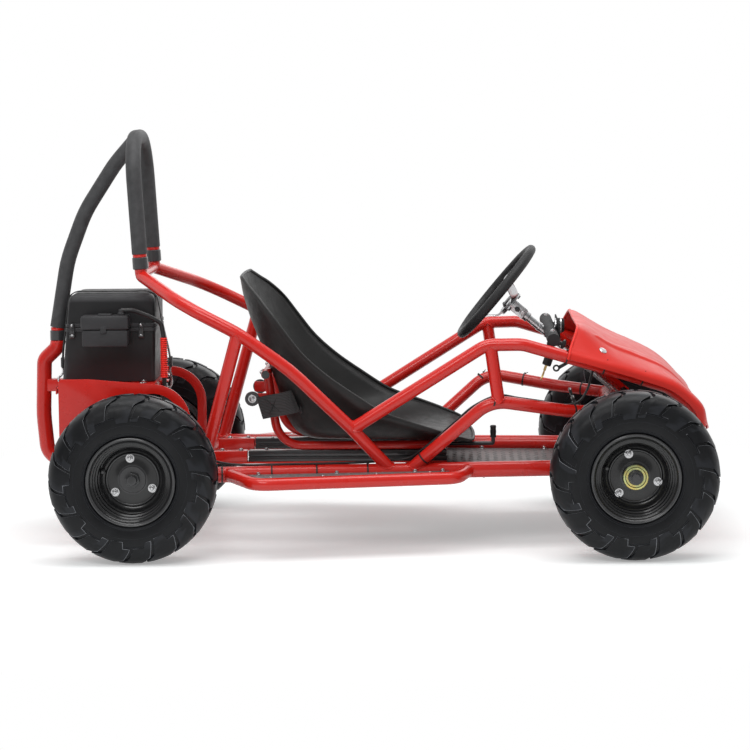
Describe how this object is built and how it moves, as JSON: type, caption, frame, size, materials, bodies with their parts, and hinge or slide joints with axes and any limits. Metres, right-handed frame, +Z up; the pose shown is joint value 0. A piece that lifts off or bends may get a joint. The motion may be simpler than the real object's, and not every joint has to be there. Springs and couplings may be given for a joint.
{
  "type": "off road go kart",
  "caption": "Small electric off road go kart with a red welded tube frame, roll hoop, bucket seat, battery box and four knobbly tyres.",
  "frame": {"origin": "middle of the kart's plan, on the ground", "axes": "+X to the front of the kart, +Y to the driver's left, +Z up"},
  "size_m": [1.3878, 0.837, 0.8361],
  "materials": {
    "red_paint": "gloss powder coat",
    "black_paint": "satin powder coat",
    "hood_plastic": "smooth gloss moulding",
    "red_plastic": "ribbed conduit",
    "black_plastic": "fine grain moulding",
    "foam": "dull foam sleeve",
    "rubber": "smooth jacket",
    "tyre": "moulded tread rubber",
    "webbing": "woven strap",
    "tread_plate": "diamond tread",
    "steel": "machined",
    "zinc": "bright zinc",
    "aluminium": "cast",
    "motor_case": "dull black"
  },
  "bodies": {
    "frame": {"main_rail_right": "red_paint", "main_rail_left": "red_paint", "rear_cross_tube": "red_paint", "upper_rail_right": "red_paint", "upper_rail_left": "red_paint", "upright_right": "red_paint", "upright_left": "red_paint", "front_tube_right": "red_paint", "front_tube_left": "red_paint", "low_tube_right": "red_paint", "low_tube_left": "red_paint", "side_bar_right": "red_paint", "side_bar_left": "red_paint", "side_plate_right": "red_paint", "side_plate_left": "red_paint", "roll_hoop": "black_paint", "hoop_pad": "foam", "rear_stay": "red_paint", "stay_pad": "foam", "floor_pan": "tread_plate", "battery_tray": "red_paint", "battery_case": "black_plastic", "hold_down_strap": "webbing", "cable_conduit": "red_plastic", "power_cable": "rubber", "drive_chain": "steel", "drive_motor": "motor_case", "brake_caliper": "aluminium", "front_axle_frame": "red_paint", "hood": "hood_plastic", "dash_panel": "black_plastic", "seat_base": "black_paint", "brake_hose": "rubber"},
    "battery_lid": {"battery_lid": "black_plastic"},
    "latch_front": {"lid_latch_front": "black_plastic"},
    "latch_rear": {"lid_latch_rear": "black_plastic"},
    "rear_axle": {"rear_axle": "steel", "axle_sprocket": "steel", "rim_rear_right": "black_paint", "tyre_rear_right": "tyre", "rim_rear_left": "black_paint", "tyre_rear_left": "tyre"},
    "motor_shaft": {"motor_sprocket": "steel"},
    "steering": {"steering_wheel": "black_plastic", "steering_shaft": "zinc"},
    "spindle_right": {"spindle_right": "zinc"},
    "spindle_left": {"spindle_left": "zinc"},
    "front_wheel_right": {"rim_front_right": "black_paint", "tyre_front_right": "tyre"},
    "front_wheel_left": {"rim_front_left": "black_paint", "tyre_front_left": "tyre"},
    "tie_rod_right": {"tie_rod_right": "zinc"},
    "tie_rod_left": {"tie_rod_left": "zinc"},
    "seat": {"seat_shell": "black_plastic", "seat_frame": "red_paint", "seat_belt": "webbing"},
    "seat_lever": {"seat_lever": "black_paint"},
    "throttle_pedal": {"throttle_pedal": "black_paint"},
    "brake_pedal": {"brake_pedal": "black_paint"},
    "key": {"key": "zinc"}
  },
  "joints": [
    {"name": "steering", "type": "hinge", "parent": "frame", "child": "steering", "pos_m": [0.463, 0, 0.329], "axis": [-0.766, 0, 0.6428], "range_deg": [-45, 45]},
    {"name": "spindle_right", "type": "hinge", "parent": "frame", "child": "spindle_right", "pos_m": [0.523, -0.275, 0.165], "axis": [0, 0, 1], "range_deg": [-25.4, 25.4]},
    {"name": "spindle_left", "type": "hinge", "parent": "frame", "child": "spindle_left", "pos_m": [0.523, 0.275, 0.165], "axis": [0, 0, 1], "range_deg": [-25.4, 25.4]},
    {"name": "tie_rod_right", "type": "hinge", "parent": "spindle_right", "child": "tie_rod_right", "pos_m": [0.46014, -0.263, 0.2126], "axis": [0, 0, 1], "range_deg": [-25.4, 25.4]},
    {"name": "tie_rod_left", "type": "hinge", "parent": "spindle_left", "child": "tie_rod_left", "pos_m": [0.46014, 0.263, 0.2126], "axis": [0, 0, 1], "range_deg": [-25.4, 25.4]},
    {"name": "front_wheel_right", "type": "hinge", "parent": "spindle_right", "child": "front_wheel_right", "pos_m": [0.523, -0.355, 0.165], "axis": [0, 1, 0], "continuous": true},
    {"name": "front_wheel_left", "type": "hinge", "parent": "spindle_left", "child": "front_wheel_left", "pos_m": [0.523, 0.355, 0.165], "axis": [0, 1, 0], "continuous": true},
    {"name": "rear_axle", "type": "hinge", "parent": "frame", "child": "rear_axle", "pos_m": [-0.453, 0, 0.165], "axis": [0, 1, 0], "continuous": true},
    {"name": "motor_shaft", "type": "hinge", "parent": "frame", "child": "motor_shaft", "pos_m": [-0.563, 0.1, 0.248], "axis": [0, 1, 0], "continuous": true},
    {"name": "throttle_pedal", "type": "hinge", "parent": "frame", "child": "throttle_pedal", "pos_m": [0.462, -0.072, 0.16025], "axis": [0, 1, 0], "range_deg": [0, 20], "stiffness_Nm_per_rad": 2, "springref_deg": -28.65},
    {"name": "brake_pedal", "type": "hinge", "parent": "frame", "child": "brake_pedal", "pos_m": [0.462, 0.072, 0.16025], "axis": [0, 1, 0], "range_deg": [0, 20], "stiffness_Nm_per_rad": 4, "springref_deg": -28.65},
    {"name": "seat_slide", "type": "slide", "parent": "frame", "child": "seat", "axis": [1, 0, 0], "range_m": [-0.045, 0.03]},
    {"name": "seat_lever", "type": "hinge", "parent": "seat", "child": "seat_lever", "pos_m": [0.12, -0.058, 0.19], "axis": [1, 0, 0], "range_deg": [0, 25], "stiffness_Nm_per_rad": 1, "springref_deg": -22.92},
    {"name": "battery_lid", "type": "hinge", "parent": "frame", "child": "battery_lid", "pos_m": [-0.53, 0.084, 0.4371], "axis": [-1, 0, 0], "range_deg": [0, 12], "deforming": ["hold_down_strap"]},
    {"name": "latch_front", "type": "hinge", "parent": "frame", "child": "latch_front", "pos_m": [-0.463, -0.0883, 0.419], "axis": [1, 0, 0], "range_deg": [0, 90]},
    {"name": "latch_rear", "type": "hinge", "parent": "frame", "child": "latch_rear", "pos_m": [-0.604, -0.0883, 0.419], "axis": [1, 0, 0], "range_deg": [0, 90]},
    {"name": "key", "type": "hinge", "parent": "frame", "child": "key", "pos_m": [0.35711, -0.214, 0.36557], "axis": [-0.342, 0, -0.9397], "range_deg": [0, 90]}
  ],
  "couplings": [
    {"joint": "spindle_right", "follows": "steering", "ratio": 0.5625},
    {"joint": "spindle_left", "follows": "steering", "ratio": 0.5625},
    {"joint": "tie_rod_right", "follows": "steering", "ratio": -0.5625},
    {"joint": "tie_rod_left", "follows": "steering", "ratio": -0.5625},
    {"joint": "motor_shaft", "follows": "rear_axle", "ratio": 3}
  ]
}
